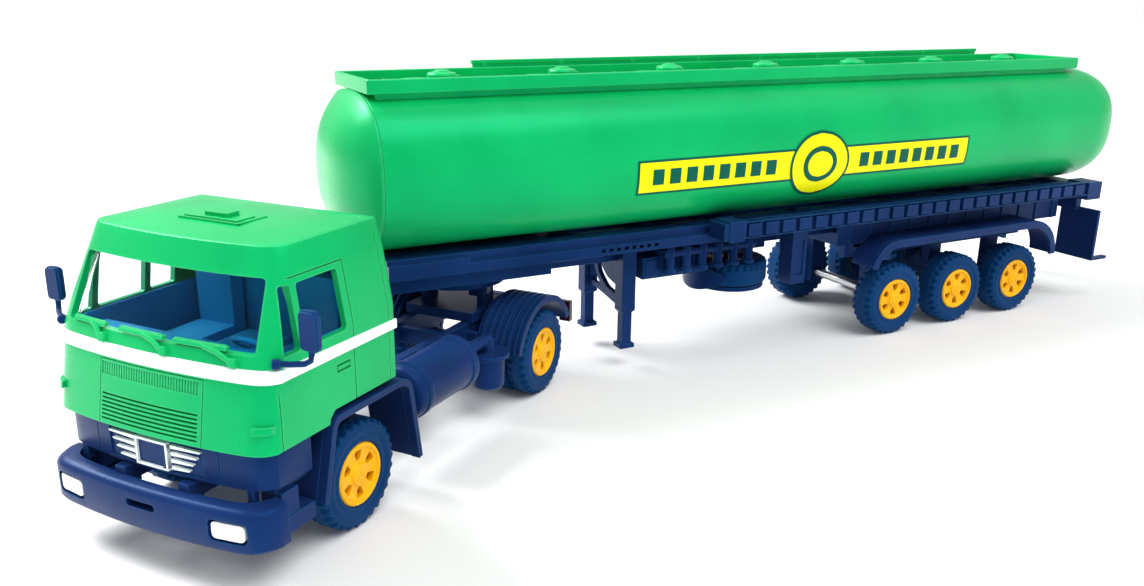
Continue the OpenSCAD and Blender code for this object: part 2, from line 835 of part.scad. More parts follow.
module rear_bar() {
    navy() at_trailer() {
        block([-125.6, -side_half, 19.6], [tray_rear, side_half, tank_low]);
        both_sides()
            block([-125.6, 9.6, tank_low], [tray_rear, side_half, tank_low + 0.7]);
        block([-126, -10.2, 16.8], [-124.6, 10.2, 19.6]);
    }
}
module trailer_tail_lamps() {
    color([0.55, 0.05, 0.05]) at_trailer()
        both_sides()
            block([-126.1, 9, 20], [-125.6, 13.8, 22.4]);
}
module mudflaps() {
    navy() at_trailer()
        both_sides() {
            block([-126.6, 6, 7.3], [-126, side_half, 17.2]);
            block([-130.6, 13.2, 7.3], [-126.6, side_half, 7.9]);
        }
}

cab_shell();
waist_stripe();
cab_glazing();
cab_interior();
steering_wheel();
mirror_left();
mirror_right();
front_skirt();
grille_trim();
front_bumper();
headlamp_lenses();
front_fender_left();
front_fender_right();
tractor_frame();
air_reservoir();
exhaust_cup();
fuel_tank();
rear_mudguards();
tractor_tail_lamps();
fifth_wheel_base();
tilt_pin();
fifth_wheel_plate();
front_axle();
front_tyres();
front_hubs();
rear_axle();
rear_tyres();
rear_hubs();
tank_barrel();
tank_front_end();
catwalk();
catwalk_rail();
filler_lids();
trailer_frame();
kingpin();
bogie_frame();
side_tray_left();
side_tray_right();
landing_legs();
landing_brace();
spare_wheel();
spare_carrier();
outlet_valves();
valve_box();
trailer_fender_left();
trailer_fender_right();
rear_bar();
trailer_tail_lamps();
mudflaps();
trailer_axle(0);  // trailer_axle_1
trailer_tyres(0);  // trailer_tyres_1
trailer_hubs(0);  // trailer_hubs_1
trailer_axle(1);  // trailer_axle_2
trailer_tyres(1);  // trailer_tyres_2
trailer_hubs(1);  // trailer_hubs_2
trailer_axle(2);  // trailer_axle_3
trailer_tyres(2);  // trailer_tyres_3
trailer_hubs(2);  // trailer_hubs_3
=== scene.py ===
"""Looks for the scale-model tanker lorry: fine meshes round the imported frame, materials, light, camera.

Shapes are written in millimetres in one of two local frames, as in the CAD source:
TRACTOR has its origin on the ground under the front axle, TRAILER on the ground under the kingpin.
"""
import json
import math

import bmesh
import bpy
from mathutils import Matrix, Vector


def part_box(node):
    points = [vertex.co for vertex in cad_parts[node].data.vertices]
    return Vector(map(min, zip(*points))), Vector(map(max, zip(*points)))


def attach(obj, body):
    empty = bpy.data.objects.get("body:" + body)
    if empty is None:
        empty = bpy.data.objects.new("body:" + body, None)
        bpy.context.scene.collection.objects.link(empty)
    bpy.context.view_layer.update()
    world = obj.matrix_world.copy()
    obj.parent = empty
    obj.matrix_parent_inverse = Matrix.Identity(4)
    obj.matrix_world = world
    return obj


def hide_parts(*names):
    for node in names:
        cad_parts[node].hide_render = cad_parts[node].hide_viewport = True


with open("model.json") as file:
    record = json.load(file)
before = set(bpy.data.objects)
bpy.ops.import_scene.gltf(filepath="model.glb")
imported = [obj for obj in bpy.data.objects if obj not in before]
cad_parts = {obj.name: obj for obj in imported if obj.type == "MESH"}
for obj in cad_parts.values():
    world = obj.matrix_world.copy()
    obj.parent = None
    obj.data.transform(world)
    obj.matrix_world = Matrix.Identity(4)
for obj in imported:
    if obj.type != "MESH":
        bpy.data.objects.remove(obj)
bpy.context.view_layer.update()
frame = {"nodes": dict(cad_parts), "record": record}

MM = 0.001
# The tractor's turn against the trailer at rest
SWING = math.radians(36)
WHEELBASE = 43.2
# The kingpin in the tractor's frame
KINGPIN_X = -41.8
# The trailer's axles, in its own frame
FIRST_AXLE, AXLE_STEP = -75, 15
TYRE_R = 6.2
# The outer face of the tyres, from the centre line
TYRE_FACE = 13.9
HUB_R = 3.55

low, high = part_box("kingpin")
KINGPIN = Vector(((low.x + high.x) / 2, (low.y + high.y) / 2, 0))
TRAILER = Matrix.Translation(KINGPIN) @ Matrix.Scale(MM, 4)
TRACTOR = (Matrix.Translation(KINGPIN) @ Matrix.Rotation(SWING, 4, "Z")
           @ Matrix.Scale(MM, 4) @ Matrix.Translation((-KINGPIN_X, 0, 0)))


# ---- Materials ----
def node(tree, kind, links=None, **values):
    """A shader node with its sockets set to values, or linked to other sockets."""
    n = tree.nodes.new(kind)
    for key, value in values.items():
        if hasattr(n, key):
            setattr(n, key, value)
        else:
            n.inputs[key.replace("_", " ")].default_value = value
    for key, socket in (links or {}).items():
        tree.links.new(socket, n.inputs[key])
    return n


def moulded(name, color, rough=0.4, mottle=0.07, grain=0.05, edge_highlight=0.3, highlight_color=(0.8, 0.9, 0.95),
            coat=0.0, metal=0.0, stretch=(1, 1, 1), tint=(1, 1, 1), shine=0.5):
    """Self-coloured moulding: slow colour drift, fine grain in bump and roughness, and a painted highlight
    that makes the edges paler.
    """
    m = bpy.data.materials.new(name)
    m.use_nodes = True
    t = m.node_tree
    bsdf = t.nodes["Principled BSDF"]
    place = node(t, "ShaderNodeMapping", {0: node(t, "ShaderNodeTexCoord").outputs["Object"]})
    place.inputs["Scale"].default_value = stretch
    at = place.outputs[0]
    drift = node(t, "ShaderNodeTexNoise", {"Vector": at}, Scale=75.0, Detail=4.0)
    speck = node(t, "ShaderNodeTexNoise", {"Vector": at}, Scale=1900.0, Detail=2.0)
    fine = node(t, "ShaderNodeTexNoise", {"Vector": at}, Scale=5200.0, Detail=3.0)
    tone = node(t, "ShaderNodeMix", {"Factor": drift.outputs["Fac"]}, data_type="RGBA")
    tone.inputs["A"].default_value = (*[c * (1 - mottle * 2) for c in color], 1)
    tone.inputs["B"].default_value = (*[min(1, c * (1 + mottle * 2) + mottle * 0.05) for c in color], 1)
    # Painted highlight: near edges, where the rounded normal turns from the flat one, the colour goes halfway
    # to a pale highlight colour, in speckled patches.
    rounded_normal = node(t, "ShaderNodeBevel", samples=4)
    rounded_normal.inputs["Radius"].default_value = 0.00022
    flat_normal = node(t, "ShaderNodeNewGeometry").outputs["Normal"]
    facing = node(t, "ShaderNodeVectorMath", {0: rounded_normal.outputs[0], 1: flat_normal},
                  operation="DOT_PRODUCT")
    edge = node(t, "ShaderNodeMapRange", {"Value": facing.outputs["Value"]})
    edge.inputs["From Min"].default_value = 0.99
    edge.inputs["From Max"].default_value = 0.86
    edge.inputs["To Max"].default_value = edge_highlight
    painted_highlight = node(t, "ShaderNodeMath", {0: edge.outputs[0], 1: speck.outputs["Fac"]}, operation="MULTIPLY")
    shade = node(t, "ShaderNodeMix", {"Factor": painted_highlight.outputs[0], "A": tone.outputs["Result"]},
                 data_type="RGBA")
    shade.inputs["B"].default_value = (*[c + (w - c) * 0.5 for c, w in zip(color, highlight_color)], 1)
    t.links.new(shade.outputs["Result"], bsdf.inputs["Base Color"])
    gloss = node(t, "ShaderNodeMapRange", {"Value": speck.outputs["Fac"]})
    gloss.inputs["To Min"].default_value = max(0.02, rough - 0.07)
    gloss.inputs["To Max"].default_value = rough + 0.07
    t.links.new(gloss.outputs[0], bsdf.inputs["Roughness"])
    bump = node(t, "ShaderNodeBump", {"Height": fine.outputs["Fac"]}, Strength=grain, Distance=0.00006)
    t.links.new(bump.outputs[0], bsdf.inputs["Normal"])
    bsdf.inputs["Metallic"].default_value = metal
    bsdf.inputs["Specular Tint"].default_value = (*tint, 1)
    bsdf.inputs["Specular IOR Level"].default_value = shine
    bsdf.inputs["Coat Weight"].default_value = coat
    bsdf.inputs["Coat Roughness"].default_value = 0.15
    return m


def clear_moulding(name):
    """Clear glazing insert, with faint flow marks in its bump."""
    m = bpy.data.materials.new(name)
    m.use_nodes = True
    t = m.node_tree
    bsdf = t.nodes["Principled BSDF"]
    at = node(t, "ShaderNodeTexCoord").outputs["Object"]
    flow = node(t, "ShaderNodeTexNoise", {"Vector": at}, Scale=240.0, Detail=2.0)
    tint = node(t, "ShaderNodeMix", {"Factor": flow.outputs["Fac"]}, data_type="RGBA")
    tint.inputs["A"].default_value = (0.84, 0.94, 1.0, 1)
    tint.inputs["B"].default_value = (0.93, 0.98, 1.0, 1)
    bump = node(t, "ShaderNodeBump", {"Height": flow.outputs["Fac"]}, Strength=0.08, Distance=0.0002)
    haze = node(t, "ShaderNodeMapRange", {"Value": flow.outputs["Fac"]})
    haze.inputs["To Min"].default_value = 0.02
    haze.inputs["To Max"].default_value = 0.09
    t.links.new(tint.outputs["Result"], bsdf.inputs["Base Color"])
    t.links.new(bump.outputs[0], bsdf.inputs["Normal"])
    t.links.new(haze.outputs[0], bsdf.inputs["Roughness"])
    bsdf.inputs["Transmission Weight"].default_value = 1.0
    bsdf.inputs["IOR"].default_value = 1.12
    return m


GREEN_SHEEN, BLUE_SHEEN, AMBER_SHEEN = (0.05, 1.0, 0.6), (0.02, 0.35, 1.0), (1.0, 0.7, 0.2)
# The pale colours given for each material's edges are painted highlights.
MATERIALS = {
    "green_plastic": moulded("green_plastic", (0.0, 0.42, 0.11), 0.3, mottle=0.14, highlight_color=(0.3, 0.95, 0.6),
                             edge_highlight=0.6, grain=0.03, tint=GREEN_SHEEN),
    "chassis_plastic": moulded("chassis_plastic", (0.0, 0.017, 0.1), 0.33, mottle=0.3,
                               highlight_color=(0.02, 0.4, 0.8), edge_highlight=0.5, grain=0.1, tint=BLUE_SHEEN, shine=0.2),
    "tyre_black": moulded("tyre_black", (0.0, 0.034, 0.13), 0.6, mottle=0.2, highlight_color=(0.03, 0.3, 0.5),
                          edge_highlight=0.9, grain=0.15, tint=BLUE_SHEEN, shine=0.2),
    "hub_yellow": moulded("hub_yellow", (1.0, 0.46, 0.0), 0.42, mottle=0.06, highlight_color=(1, 0.8, 0.2),
                          tint=AMBER_SHEEN),
    "hub_shadow": moulded("hub_shadow", (0.18, 0.01, 0.0), 0.6, mottle=0.15, highlight_color=(0.9, 0.4, 0.1),
                          tint=AMBER_SHEEN),
    "white_print": moulded("white_print", (0.86, 0.95, 0.95), 0.4, mottle=0.03, highlight_color=(0.3, 0.8, 0.6),
                           edge_highlight=0.3),
    "clear_glazing": clear_moulding("clear_glazing"),
    # Painted glare: this blue is far lighter than the dark navy interior, standing in for the haze and
    # reflections on the glazing in front of it.
    "interior_plastic": moulded("interior_plastic", (0.0, 0.32, 0.9), 0.5, mottle=0.3,
                                highlight_color=(0.05, 0.5, 0.9), edge_highlight=0.8, grain=0.3, tint=BLUE_SHEEN),
    "pin_steel": moulded("pin_steel", (0.55, 0.56, 0.58), 0.3, mottle=0.05, metal=1.0, edge_highlight=0.1,
                         stretch=(1, 0.05, 1)),
    # Painted shade: the lamp red is darkened almost to black, as the tail lamps sit in shade.
    "lamp_red": moulded("lamp_red", (0.03, 0.002, 0.01), 0.25, highlight_color=(0.3, 0.05, 0.08), coat=0.4),
    "lens_white": moulded("lens_white", (0.93, 0.96, 0.98), 0.22, mottle=0.02, edge_highlight=0.1, coat=0.5),
    "banner_yellow": moulded("banner_yellow", (1.0, 0.98, 0.0), 0.4, mottle=0.03, highlight_color=(0.3, 0.7, 0.2),
                             tint=AMBER_SHEEN),
    "banner_green": moulded("banner_green", (0.0, 0.07, 0.05), 0.4, mottle=0.06, highlight_color=(0.2, 0.6, 0.3),
                            tint=GREEN_SHEEN),
}


# ---- Mesh tools: everything is added to a bmesh, in millimetres ----
def lookup(z, table):
    """A value between the rows of a (height, value) table."""
    for (z0, v0), (z1, v1) in zip(table, table[1:]):
        if z <= z1:
            return v0 + (v1 - v0) * max(0.0, z - z0) / (z1 - z0)
    return table[-1][1]


def steps(start, end, count):
    return [start + (end - start) * i / count for i in range(count + 1)]


def loft(bm, rings, cap=True, closed=True):
    """A skin over a stack of rings with equal numbers of points."""
    rows = [[bm.verts.new(p) for p in ring] for ring in rings]
    n = len(rows[0])
    for a, b in zip(rows, rows[1:]):
        for j in range(n if closed else n - 1):
            k = (j + 1) % n
            bm.faces.new((a[j], a[k], b[k], b[j]))
    if cap:
        bm.faces.new(list(reversed(rows[0])))
        bm.faces.new(rows[-1])


def block(bm, low, high):
    (x0, y0, z0), (x1, y1, z1) = low, high
    loft(bm, [[(x0, y0, z), (x1, y0, z), (x1, y1, z), (x0, y1, z)] for z in (z0, z1)])


def side_block(bm, side, low, high):
    """A block given for the left side, on the side that is asked for."""
    (x0, y0, z0), (x1, y1, z1) = low, high
    block(bm, (x0, min(side * y0, side * y1), z0), (x1, max(side * y0, side * y1), z1))


def slab(bm, us, vs, outer, inner):
    """A closed slab between two surfaces that are functions of u and v."""
    sides = [[[bm.verts.new(f(u, v)) for u in us] for v in vs] for f in (outer, inner)]
    for s in sides:
        for a, b in zip(s, s[1:]):
            for j in range(len(us) - 1):
                bm.faces.new((a[j], a[j + 1], b[j + 1], b[j]))
    edge = []
    for s in sides:
        edge.append([r[0] for r in s] + s[-1][1:] + [r[-1] for r in s[-2::-1]] + s[0][-2:0:-1])
    for j in range(len(edge[0])):
        k = (j + 1) % len(edge[0])
        bm.faces.new((edge[0][j], edge[0][k], edge[1][k], edge[1][j]))


def spin(bm, profile, place, count=72, closed=False, wave=None):
    """A turned shape: profile is (radius, height) pairs, place puts its Z axis and centre."""
    rows = []
    for j in range(count):
        a = 2 * math.pi * j / count
        row = []
        for i, (r, h) in enumerate(profile):
            q = r - (wave(i, j) if wave else 0)
            row.append(bm.verts.new(place @ Vector((q * math.cos(a), q * math.sin(a), h))))
        rows.append(row)
    n = len(profile)
    for j in range(count):
        a, b = rows[j], rows[(j + 1) % count]
        for i in range(n if closed else n - 1):
            k = (i + 1) % n
            bm.faces.new((a[i], a[k], b[k], b[i]))


def tube(bm, points, radius, sides=10):
    """A round bar along a line of points."""
    points = [Vector(p) for p in points]
    rings = []
    for i, p in enumerate(points):
        along = (points[min(i + 1, len(points) - 1)] - points[max(i - 1, 0)]).normalized()
        across = along.cross(Vector((0, 0, 1)) if abs(along.z) < 0.9 else Vector((1, 0, 0))).normalized()
        up = along.cross(across)
        rings.append([p + radius * (across * math.cos(a) + up * math.sin(a))
                      for a in (2 * math.pi * k / sides for k in range(sides))])
    loft(bm, rings)


def rounded(points, radius, count=5, closed=True):
    """A 2-D outline with its corners rounded off."""
    out = []
    n = len(points)
    for i, p in enumerate(points):
        if not closed and i in (0, n - 1):
            out.append(tuple(p))
            continue
        p, a, b = Vector(p), Vector(points[i - 1]), Vector(points[(i + 1) % n])
        start = p + (a - p).normalized() * min(radius, (a - p).length * 0.45)
        end = p + (b - p).normalized() * min(radius, (b - p).length * 0.45)
        for t in steps(0, 1, count):
            out.append(tuple(start * (1 - t) ** 2 + p * 2 * t * (1 - t) + end * t ** 2))
    return out


def rectangle(u0, v0, u1, v1, radius=0.0):
    corners = [(u0, v0), (u1, v0), (u1, v1), (u0, v1)]
    return rounded(corners, radius) if radius else corners


def shifted(path, distance):
    """An open 2-D path moved sideways, to its right, by a distance."""
    out = []
    for i, p in enumerate(path):
        a, b = Vector(path[max(i - 1, 0)]), Vector(path[min(i + 1, len(path) - 1)])
        along = (b - a).normalized()
        out.append((p[0] + along.y * distance, p[1] - along.x * distance))
    return out


def prism_y(bm, outline, y0, y1):
    """An outline in X and Z, from one Y to another."""
    loft(bm, [[(x, y, z) for x, z in outline] for y in (y0, y1)])


def prism_x(bm, outline, x0, x1):
    """An outline in Y and Z, from one X to another."""
    loft(bm, [[(x, y, z) for y, z in outline] for x in (x0, x1)])


def band(bm, path, levels, inner):
    """A wall that follows an open path: path(z, inset) gives its line, levels are (z, outer inset)."""
    loft(bm, [path(z, inset) + list(reversed(path(z, inner))) for z, inset in levels])


def pillow(bm, outline, surface, depth, rise):
    """A pad with a soft crown on a surface: outline in two coordinates, surface(u, v, lift) in three."""
    n = len(outline)
    cu, cv = sum(p[0] for p in outline) / n, sum(p[1] for p in outline) / n
    rings = []
    crown = ((1, -depth), (1, 0), (0.93, rise * 0.6), (0.75, rise * 0.9), (0.4, rise), (0.1, rise))
    for share, lift in crown:
        rings.append([surface(cu + (u - cu) * share, cv + (v - cv) * share, lift) for u, v in outline])
    loft(bm, rings)


def round_edges(obj, width, angle=32):
    """Small round edges wherever two faces meet at more than an angle."""
    round_off = obj.modifiers.new("round_edges", "BEVEL")
    round_off.width = width * MM
    round_off.segments = 2
    round_off.limit_method = "ANGLE"
    round_off.angle_limit = math.radians(angle)
    round_off.harden_normals = True
    round_off.use_clamp_overlap = True


def piece(name, bm, place, body, slot, stands_for=(), width=0.05, cutters=None, material=None):
    """Makes an object of a bmesh, cuts it, and puts it on its body with its finish."""
    def to_object(label, b):
        bmesh.ops.remove_doubles(b, verts=b.verts, dist=1e-4)
        bmesh.ops.recalc_face_normals(b, faces=b.faces)
        mesh = bpy.data.meshes.new(label)
        b.to_mesh(mesh)
        b.free()
        o = bpy.data.objects.new(label, mesh)
        bpy.context.scene.collection.objects.link(o)
        return o

    obj = to_object(name, bm)
    for cutter in cutters or ():
        tool = to_object(f"{name}_cutter", cutter)
        cut = obj.modifiers.new("cut", "BOOLEAN")
        cut.operation, cut.solver, cut.use_self, cut.object = "DIFFERENCE", "EXACT", True, tool
        result = bpy.data.meshes.new_from_object(obj.evaluated_get(bpy.context.evaluated_depsgraph_get()))
        obj.modifiers.clear()
        obj.data = result
        bpy.data.objects.remove(tool)
    obj.data.name = name
    obj.data.transform(place)
    obj.data.materials.clear()
    obj.data.materials.append(MATERIALS[material or slot])
    obj.data.shade_smooth()
    round_edges(obj, width)
    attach(obj, body)
    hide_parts(*stands_for)


def shapes(count=1):
    """One or more empty meshes to add shapes to."""
    made = [bmesh.new() for _ in range(count)]
    return made[0] if count == 1 else made


# ---- Cab ----
CAB_REAR = -6.5
# Half width and foremost point of the cab, by height
HALF = [(0, 14.4), (24, 14.4), (30, 13.4), (33.2, 12.5)]
NOSE = [(0, 15.6), (14.3, 15.6), (23, 14.1), (30.6, 11.0), (33.2, 10.2)]
FRONT_COLUMNS = [math.sin(math.radians(90 * i / 36)) for i in range(-36, 37)]


def bow(a):
    """How far the front falls back from its middle, at a share of its half width."""
    return 1.2 * a * a + 1.35 * abs(a) ** 18


def cab_x(y, z, lift=0.0):
    """How far forward the bowed cab front reaches."""
    return lookup(z, NOSE) - bow(max(-1.0, min(1.0, y / lookup(z, HALF)))) + lift


def cab_line(rear):
    """The open line along one side, the front and the other side, from a given rear end."""
    def path(z, inset):
        half = lookup(z, HALF) - inset
        front = [(lookup(z, NOSE) - inset - bow(a), a * half, z) for a in FRONT_COLUMNS]
        return [(rear, -half, z), *front, (rear, half, z)]
    return path


def cab_ring(z, inset, level=None, corner=0.6):
    """A closed ring round the cab: its outline at height z, drawn at another level if one is given."""
    half, rear = lookup(z, HALF) - inset, CAB_REAR + inset
    height = z if level is None else level
    turn = [math.radians(a) for a in (0, 22.5, 45, 67.5, 90)]
    right = [(rear + corner - corner * math.cos(a), -half + corner - corner * math.sin(a), height)
             for a in turn]
    front = [(lookup(z, NOSE) - inset - bow(a), a * half, height) for a in FRONT_COLUMNS]
    return right + front + [(x, -y, height) for x, y, _ in reversed(right)]


def front_slab(bm, y0, y1, z0, z1, back, proud):
    slab(bm, steps(y0, y1, 8), steps(z0, z1, 3),
         lambda y, z: (cab_x(y, z, proud), y, z), lambda y, z: (cab_x(y, z, -back), y, z))


def side_slab(bm, x0, x1, z0, z1, back, proud, side):
    slab(bm, steps(x0, x1, 1), [z0, *[z for z in (24, 30) if z0 < z < z1], z1],
         lambda x, z: (x, side * (lookup(z, HALF) + proud), z),
         lambda x, z: (x, side * (lookup(z, HALF) - back), z))


VENT_WINDOW = rounded([(11.35, 23.5), (9.0, 23.5), (8.8, 29.8), (9.75, 29.8)], 0.35)
DOOR_WINDOW = rounded([(8.2, 23.5), (1.9, 23.5), (1.9, 29.8), (8.0, 29.8)], 0.45)
QUARTER_WINDOW = rounded([(1.1, 23.6), (-2.4, 23.6), (-2.4, 29.3), (1.1, 29.3)], 0.45)
WINDSCREEN = rounded([(-12.35, 23.75), (12.35, 23.75), (11.75, 30.5), (-11.75, 30.5)], 0.5)

ROOF_RINGS = [(0.05, 33.27), (0.18, 33.33), (0.5, 33.38), (1.4, 33.5), (2.6, 33.66), (4.2, 33.79),
              (6.4, 33.88)]
shell, hollow, cuts = shapes(3)
loft(shell, [cab_ring(z, 0) for z in (14.3, 19, 23, 24, 27, 30, 30.6, 32, 33.1)]
     + [cab_ring(33.2, inset, level) for inset, level in ROOF_RINGS])
loft(hollow, [cab_ring(z, 0.7) for z in (13.3, 19, 23, 24, 27, 30, 30.6, 32.8)])
# The openings, and the fender's step in the lower edge
prism_x(cuts, WINDSCREEN, 8.0, 18)
for side in (-1, 1):
    for window in (VENT_WINDOW, DOOR_WINDOW):
        prism_y(cuts, window, side * 11.4, side * 16)
prism_y(cuts, QUARTER_WINDOW, -16, -11.4)
prism_y(cuts, [(5.6, 13), (5.2, 14.9), (4.4, 15.6), (-8, 15.6), (-8, 13)], -15, 15)
# Shut lines, handle recess, corner joint
for side in (-1, 1):
    side_slab(cuts, 0.82, 0.98, 15.4, 30.35, 0.22, 0.3, side)
    side_slab(cuts, 0.82, 9.6, 30.35, 30.5, 0.22, 0.3, side)
    side_slab(cuts, 12.2, 12.34, 14.2, 21.2, 0.2, 0.3, side)
    side_slab(cuts, 1.6, 3.8, 19.3, 20.2, 0.25, 0.3, side)
    side_slab(cuts, -5.2, -5.08, 15.7, 32.4, 0.12, 0.3, side)
# Grille: panel line, rib recess and louvres
GRILLE_HALF = 6.4
front_slab(cuts, -6.75, -6.62, 14.35, 20.95, 0.2, 0.4)
front_slab(cuts, 6.85, 6.98, 14.35, 20.95, 0.2, 0.4)
front_slab(cuts, -6.62, 6.85, 20.83, 20.95, 0.2, 0.4)
front_slab(cuts, -6.5, 6.5, 19.3, 20.6, 0.3, 0.4)
for k in range(7):
    front_slab(cuts, -GRILLE_HALF, GRILLE_HALF, 14.75 + 0.42 * k, 14.97 + 0.42 * k, 0.55, 0.4)
piece("cab_body", shell, TRACTOR, "tractor", "green_plastic", ["cab_shell"], 0.09, [hollow, cuts])

# Moulded detail on the cab: ribs, wipers, roof hatch, indicators, handles
trim = shapes()
for k in range(37):
    y = -6.3 + 0.35 * k
    front_slab(trim, y - 0.11, y + 0.11, 19.28, 20.62, 0.42, -0.08)
for side in (-1, 1):
    side_slab(trim, 1.75, 3.65, 19.62, 19.95, 0.3, 0.02, side)
    front_slab(trim, side * 12.7, side * 14.25, 16.45, 17.2, 0.3, 0.45)
for y0, y1, pivot in ((-11.2, -6.3, -6.4), (-4.2, 1.7, 2.1), (3.0, 9.3, 10.3)):
    front_slab(trim, y0, y1, 23.95, 24.3, 0.25, 0.25)
    front_slab(trim, y0 + 0.1, y1 - 0.1, 24.25, 24.45, -0.02, 0.2)
    middle = (y0 + y1) / 2 + 0.6
    line = [(cab_x(y, z, 0.28), y, z) for y, z in
            ((pivot, 22.95), (pivot - 0.5, 23.25), ((pivot + middle) / 2, 23.75), (middle, 24.15))]
    tube(trim, line, 0.27)
    cap = Matrix.Translation((cab_x(pivot, 22.95), pivot, 22.95)) @ Matrix.Rotation(math.radians(70), 4, "Y")
    spin(trim, [(0, 0.5), (0.42, 0.5), (0.5, 0.35), (0.5, -0.5)], cap, 20)


def roof_z(y):
    """Height of the crowned roof, near its middle."""
    return 33.83 + 0.05 * (1 - (y / 6) ** 2)


def ridge(bm, x0, y0, x1, y1, rise=0.16):
    slab(bm, steps(x0, x1, 2), steps(y0, y1, 2),
         lambda x, y: (x, y, roof_z(y) + rise), lambda x, y: (x, y, roof_z(y) - 0.4))


for x, y, rear in ((5.4, 4.3, 1.2), (4.55, 3.3, 1.9)):
    ridge(trim, x - 0.1, -3.6, x + 0.1, y + 0.1)
    ridge(trim, rear, y - 0.1, x + 0.1, y + 0.1)
block(trim, (1.7, -1.9, 33.4), (3.5, 1.1, 34.3))
piece("cab_trim", trim, TRACTOR, "tractor", "green_plastic", (), 0.05)

# Lower edge of the stripe, and its height in front and at its rear ends
STRIPE_LOW, STRIPE_FRONT, STRIPE_REAR = 21.1, 1.42, 1.12
stripe, stripe_rings = shapes(), []
for share, inset in ((0, 0.0), (0.07, -0.14), (0.93, -0.14), (1, 0.0)):
    ring = []
    for gap in (inset, 0.05):
        line = cab_line(-6.45)(STRIPE_LOW + share * STRIPE_FRONT, gap)
        heights = [STRIPE_REAR] + [STRIPE_FRONT] * (len(line) - 2) + [STRIPE_REAR]
        wall = [(x, y, STRIPE_LOW + share * height) for (x, y, _), height in zip(line, heights)]
        ring += wall if gap == inset else wall[::-1]
    stripe_rings.append(ring)
loft(stripe, stripe_rings)
piece("cab_stripe", stripe, TRACTOR, "tractor", "white_print", ["waist_stripe"], 0.04)

glass = shapes()
band(glass, cab_line(-4.6), [(z, 0.72) for z in (22.9, 24, 27, 30, 30.6, 31.2)], 0.95)
lining = shapes()
band(lining, cab_line(-5.7), [(16.0, 1.0), (23.4, 1.0)], 1.2)
piece("cab_lining", lining, TRACTOR, "tractor", "interior_plastic", (), 0.05)
piece("cab_windows", glass, TRACTOR, "tractor", "clear_glazing", ["cab_glazing"], 0.02)


# ---- Mirrors ----
def mirror_piece(side, name, cad, top, half):
    bm = shapes()
    for grow, x0, x1 in ((0, 10.0, 10.95), (0.14, 10.2, 10.7)):
        head = rectangle(17 - half - grow, 24.45 - grow, 17 + half + grow, top + grow, 0.5 + grow)
        prism_x(bm, [(side * y, z) for y, z in head], x0, x1)
    bend = [(12.15, 14.15, 23.15), (11.6, 15.3, 23.1), (10.9, 16.5, 23.12),
            (10.55, 16.95, 23.4), (10.45, 17.0, 24.0), (10.45, 17.0, 24.6)]
    tube(bm, [(x, side * y, z) for x, y, z in bend], 0.3, 12)
    tube(bm, [(12.5, side * 14.0, 23.15), (12.05, side * 14.6, 23.15)], 0.5, 12)
    piece(name, bm, TRACTOR, "tractor", "chassis_plastic", [cad], 0.06)


mirror_piece(1, "mirror_left_head", "mirror_left", 28.2, 0.95)
mirror_piece(-1, "mirror_right_head", "mirror_right", 27.9, 0.88)

# ---- Front end ----
SKIRT_INSET = 0.7
skirt, skirt_cuts = shapes(2)
band(skirt, cab_line(7.6), [(10.2, SKIRT_INSET + 0.1), (10.4, SKIRT_INSET), (14.3, SKIRT_INSET)], 1.6)
slab(skirt_cuts, steps(-6.3, 6.3, 8), (10.6, 14.1), lambda y, z: (cab_x(y, 14, 1), y, z),
     lambda y, z: (cab_x(y, 14, -SKIRT_INSET - 0.22), y, z))
for side in (-1, 1):
    slab(skirt_cuts, steps(side * 8.1, side * 8.24, 1), (10.1, 14.4), lambda y, z: (cab_x(y, 14, 1), y, z),
         lambda y, z: (cab_x(y, 14, -SKIRT_INSET - 0.15), y, z))
piece("front_panel", skirt, TRACTOR, "tractor", "chassis_plastic", ["front_skirt"], 0.06, [skirt_cuts])


def on_skirt(y, z, lift):
    return (cab_x(y, 14, lift - SKIRT_INSET - 0.2), y, z)


bars = shapes()
for side in (-1, 1):
    for k in range(4):
        z, far = 13.15 - 0.75 * k, 6.1 - 0.5 * k
        outline = [(side * 2.45, z), (side * far, z + 0.1), (side * (far + 0.12), z + 0.2),
                   (side * far, z + 0.3), (side * 2.45, z + 0.4)]
        loft(bars, [[on_skirt(y, zz, lift) for y, zz in outline] for lift in (-0.1, 0.35)])
frame_lines = ((-2.15, 13.45, 2.15, 13.7), (-2.15, 10.7, 2.15, 10.95), (-2.15, 10.95, -1.9, 13.45),
               (1.9, 10.95, 2.15, 13.45))
for y0, z0, y1, z1 in frame_lines:
    slab(bars, steps(y0, y1, 3), (z0, z1),
         lambda y, z: on_skirt(y, z, 0.55), lambda y, z: on_skirt(y, z, -0.1))
piece("grille_bars", bars, TRACTOR, "tractor", "white_print", ["grille_trim"], 0.04)
plate = shapes()
slab(plate, steps(-1.95, 1.95, 4), (10.9, 13.5),
     lambda y, z: on_skirt(y, z, 0.3), lambda y, z: on_skirt(y, z, -0.1))
piece("badge_plate", plate, TRACTOR, "tractor", "chassis_plastic", (), 0.04)

BUMPER_HALF = 14.75


def bumper_x(y, lift=0.0, inset=0.0):
    a = max(-1.0, min(1.0, y / (BUMPER_HALF - inset)))
    return 17.3 - inset - 1.2 * a * a - 2.4 * abs(a) ** 18 + lift


def bumper_line(z, inset):
    half = BUMPER_HALF - inset
    front = [(bumper_x(a * half, 0, inset), a * half, z) for a in FRONT_COLUMNS]
    return [(12.45, -half, z), *front, (12.45, half, z)]


